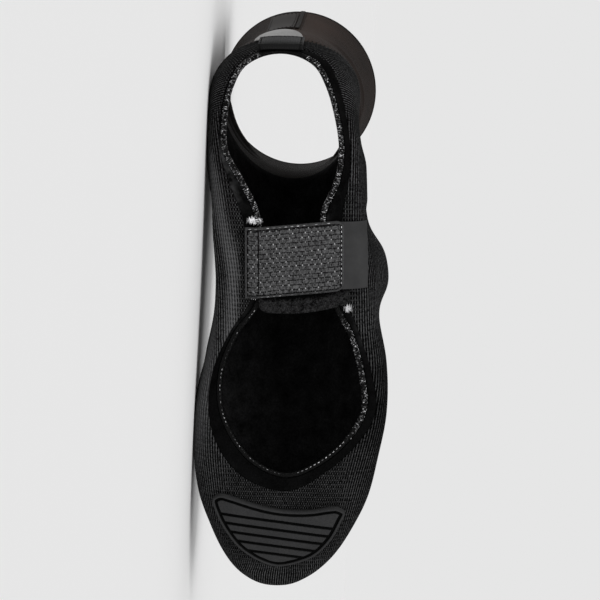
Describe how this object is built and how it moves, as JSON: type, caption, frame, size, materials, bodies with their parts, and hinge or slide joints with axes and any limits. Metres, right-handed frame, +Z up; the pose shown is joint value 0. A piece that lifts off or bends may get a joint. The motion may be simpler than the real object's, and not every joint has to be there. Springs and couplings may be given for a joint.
{
  "type": "cycling overshoe",
  "caption": "Knitted road-cycling overshoe for the right foot, empty: a sock-like shell with a stretch collar, a sole cut-out for heel and cleat, a waist strap and a rubber toe pad.",
  "frame": {"origin": "centre of the bounding box in plan, on the floor that the overshoe lies on", "axes": "X along the foot towards the toe; the sole faces -Y and the collar opens towards +Y; Z up, with the inner side of the foot down on the floor"},
  "size_m": [0.2906, 0.1632, 0.0988],
  "materials": {
    "knit": "fine ribbed knit, matte",
    "facing": "smooth coated cloth, matte",
    "binding": "overlocked edge with shiny thread",
    "strap_weave": "woven hook tape with a quilted grid",
    "tab_film": "smooth film, plain",
    "loop_pile": "brushed loop pile",
    "pad_rubber": "matte moulded rubber",
    "webbing": "flat woven webbing",
    "cuff_fabric": "smooth satin stretch fabric",
    "edge_film": "bonded edge",
    "reflective_film": "reflective grey film",
    "label": "plain film patch",
    "seam_tape": "flat seam tape"
  },
  "bodies": {
    "root": {"upper": "knit", "sole_facing": "facing", "opening_binding": "binding", "strap": "strap_weave", "strap_tab": "tab_film", "strap_under": "loop_pile", "toe_pad": "pad_rubber", "heel_tab": "webbing", "cuff": "cuff_fabric", "cuff_edge": "edge_film", "heel_reflector": "reflective_film", "cuff_label": "label", "cuff_back_seam": "seam_tape"}
  },
  "joints": []
}
